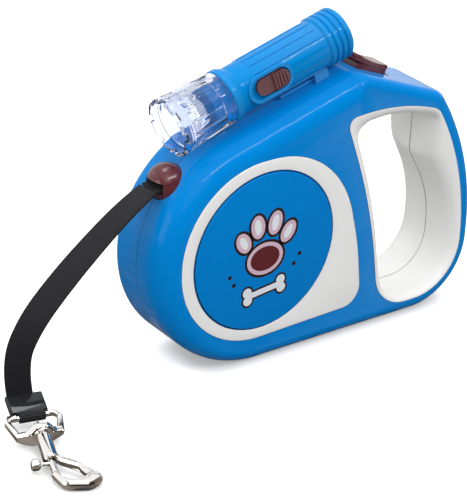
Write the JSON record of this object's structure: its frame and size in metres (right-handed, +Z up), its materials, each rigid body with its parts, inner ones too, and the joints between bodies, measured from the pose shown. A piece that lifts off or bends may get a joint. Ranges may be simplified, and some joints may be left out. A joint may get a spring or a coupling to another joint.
{
  "type": "retractable leash",
  "caption": "Hand-held retractable tape leash with reel, thumb brake, finger opening, clip-on torch and swivel bolt snap.",
  "frame": {"origin": "on the ground plane, under the middle of the box round the casing with its torch, the free tape and its fittings left out", "axes": "+X towards the handle (longest), +Y through the casing from its front face to its rear (thinnest), +Z up"},
  "size_m": [0.2693, 0.0933, 0.1592],
  "materials": {
    "casing_blue": "gloss moulded",
    "trim_white": "satin moulded",
    "maroon_plastic": "gloss moulded",
    "black_plastic": "as moulded",
    "keeper_black": "gloss moulded",
    "steel": "plain",
    "nickel": "bright nickel plate",
    "brass_strip": "plain",
    "mirror_finish": "metallised",
    "clear_plastic": "clear moulded",
    "led_lens": "clear epoxy",
    "cell_label": "film sleeve",
    "webbing": "woven"
  },
  "bodies": {
    "root": {"front_shell": "casing_blue", "rear_shell": "casing_blue", "front_side_plate": "trim_white", "rear_side_plate": "trim_white", "front_side_disc": "casing_blue", "rear_side_disc": "casing_blue", "front_grip_liner": "trim_white", "rear_grip_liner": "trim_white", "leash_nozzle": "maroon_plastic", "reel_axle": "steel", "brake_lever_pin": "steel", "brake_return_spring": "steel", "casing_screws": "steel", "torch_rail": "casing_blue", "tape_feed": "webbing", "leash_tape": "webbing", "tape_keeper": "keeper_black", "tape_loop": "webbing"},
    "reel": {"reel": "black_plastic", "mainspring": "steel", "spring_cover": "black_plastic", "wound_tape": "webbing"},
    "brake_carrier": {"brake_carrier": "black_plastic"},
    "brake_button": {"brake_button": "maroon_plastic"},
    "brake_lever": {"brake_lever": "black_plastic"},
    "torch": {"torch_barrel": "casing_blue", "torch_clip": "casing_blue", "torch_led": "led_lens", "torch_reflector": "mirror_finish", "torch_cell": "cell_label", "torch_contact": "brass_strip", "tail_spring": "steel"},
    "torch_head": {"torch_head": "clear_plastic", "torch_lens": "clear_plastic"},
    "torch_tail_cap": {"torch_tail_cap": "casing_blue"},
    "torch_switch": {"torch_switch": "maroon_plastic"},
    "snap_eye": {"snap_swivel_eye": "nickel"},
    "snap_hook": {"snap_hook_body": "nickel", "snap_spring": "steel"},
    "snap_bolt": {"snap_bolt": "nickel"}
  },
  "joints": [
    {"name": "reel_spin", "type": "hinge", "parent": "root", "child": "reel", "pos_m": [-0.035, 0, 0.0572], "axis": [0, 1, 0], "continuous": true},
    {"name": "brake_lock", "type": "slide", "parent": "root", "child": "brake_carrier", "axis": [0.9323, 0, -0.3616], "range_m": [0, 0.0022]},
    {"name": "brake_press", "type": "slide", "parent": "brake_carrier", "child": "brake_button", "axis": [-0.3616, 0, -0.9323], "range_m": [0, 0.003], "stiffness_N_per_m": 400, "springref_m": -0.002, "deforming": ["brake_return_spring"]},
    {"name": "pawl_swing", "type": "hinge", "parent": "root", "child": "brake_lever", "pos_m": [-0.007, 0.0098, 0.1175], "axis": [0, 1, 0], "range_deg": [0, 6]},
    {"name": "torch_slide", "type": "slide", "parent": "root", "child": "torch", "axis": [-0.9593, 0, -0.2823], "range_m": [0, 0.03]},
    {"name": "torch_head_turn", "type": "hinge", "parent": "torch", "child": "torch_head", "pos_m": [-0.05105, 0, 0.12777], "axis": [0.9593, 0, 0.2823], "range_deg": [0, 270]},
    {"name": "tail_cap_turn", "type": "hinge", "parent": "torch", "child": "torch_tail_cap", "pos_m": [0.00075, 0, 0.14301], "axis": [0.9593, 0, 0.2823], "range_deg": [0, 270]},
    {"name": "torch_switch_slide", "type": "slide", "parent": "torch", "child": "torch_switch", "axis": [-0.9593, 0, -0.2823], "range_m": [0, 0.0024]},
    {"name": "snap_eye_swing", "type": "hinge", "parent": "root", "child": "snap_eye", "pos_m": [-0.1584, -0.0193, 0.0085], "axis": [-0.9744, 0.225, 0], "range_deg": [0, 95]},
    {"name": "snap_swivel", "type": "hinge", "parent": "snap_eye", "child": "snap_hook", "pos_m": [-0.1599, -0.0295, 0.0064], "axis": [0.3468, 0.9326, 0.0993], "continuous": true},
    {"name": "snap_bolt_slide", "type": "slide", "parent": "snap_hook", "child": "snap_bolt", "axis": [0.3468, 0.9326, 0.0993], "range_m": [0, 0.005], "stiffness_N_per_m": 200, "springref_m": -0.003, "deforming": ["snap_spring"]}
  ],
  "couplings": [
    {"joint": "pawl_swing", "follows": "brake_press", "rad_per_m": 32}
  ]
}
